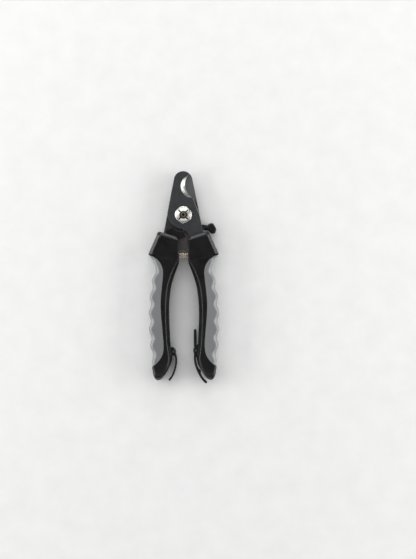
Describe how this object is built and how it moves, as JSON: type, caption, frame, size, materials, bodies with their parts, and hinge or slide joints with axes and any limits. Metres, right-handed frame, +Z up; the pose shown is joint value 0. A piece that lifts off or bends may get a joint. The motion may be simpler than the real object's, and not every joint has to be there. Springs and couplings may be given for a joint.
{
  "type": "pet nail trimmer",
  "caption": "Pliers-type pet nail trimmer with crossed hooked steel blades on a slotted pivot, scalloped handles, a return spring, a swinging guard and a handle lock.",
  "frame": {"origin": "centre of the bounding box in X and Y, on the plane that the trimmer lies on; the blade pivot is on the Z line through x 0, y 0.0469", "axes": "the trimmer lies flat and closed: +Y from the handle ends to the head, +Z up from the flat backs of the handles towards the bolt head, +X towards the handle that holds the front blade's tang"},
  "size_m": [0.053, 0.1596, 0.014],
  "materials": {
    "blade_coating": "semi-matte dark grey coating on steel, bright ground bevels",
    "bright_nickel": "bright nickel plate",
    "plain_steel": "plain rolled or turned steel",
    "washer_nylon": "natural nylon",
    "black_plastic": "satin moulded black plastic",
    "grey_rubber": "soft grey over-moulded rubber",
    "spring_wire": "drawn spring wire",
    "lock_plastic": "glossy blue-black plastic"
  },
  "bodies": {
    "right_half": {"front_blade": "blade_coating", "pivot_bolt": "bright_nickel", "pivot_nut": "bright_nickel", "pivot_bush": "plain_steel", "thrust_washer": "washer_nylon", "wave_washer": "plain_steel", "right_handle_core": "black_plastic", "right_grip": "grey_rubber", "right_tang_pins": "plain_steel", "right_spring_seat": "plain_steel", "return_spring": "spring_wire", "catch_pin": "plain_steel"},
    "left_half": {"rear_blade": "blade_coating", "left_handle_core": "black_plastic", "left_grip": "grey_rubber", "left_tang_pins": "plain_steel", "left_spring_seat": "plain_steel", "loop_pin": "plain_steel"},
    "safety_guard": {"guard_plate": "plain_steel", "guard_tab": "black_plastic"},
    "lock_loop": {"lock_loop": "lock_plastic"},
    "lock_catch": {"lock_catch": "lock_plastic"}
  },
  "joints": [
    {"name": "handle_pivot", "type": "hinge", "parent": "right_half", "child": "left_half", "pos_m": [0, 0.0469, 0.007], "axis": [0, 0, -1], "range_deg": [0, 26], "deforming": ["return_spring"]},
    {"name": "guard_pivot", "type": "hinge", "parent": "right_half", "child": "safety_guard", "pos_m": [0, 0.0469, 0.0034], "axis": [0, 0, 1], "range_deg": [0, 40]},
    {"name": "loop_hinge", "type": "hinge", "parent": "left_half", "child": "lock_loop", "pos_m": [-0.0081, -0.0558, 0.007], "axis": [0, 0, 1], "range_deg": [0, 46]},
    {"name": "catch_hinge", "type": "hinge", "parent": "right_half", "child": "lock_catch", "pos_m": [0.0086, -0.0551, 0.007], "axis": [0, 0, -1], "range_deg": [0, 3.5]}
  ]
}
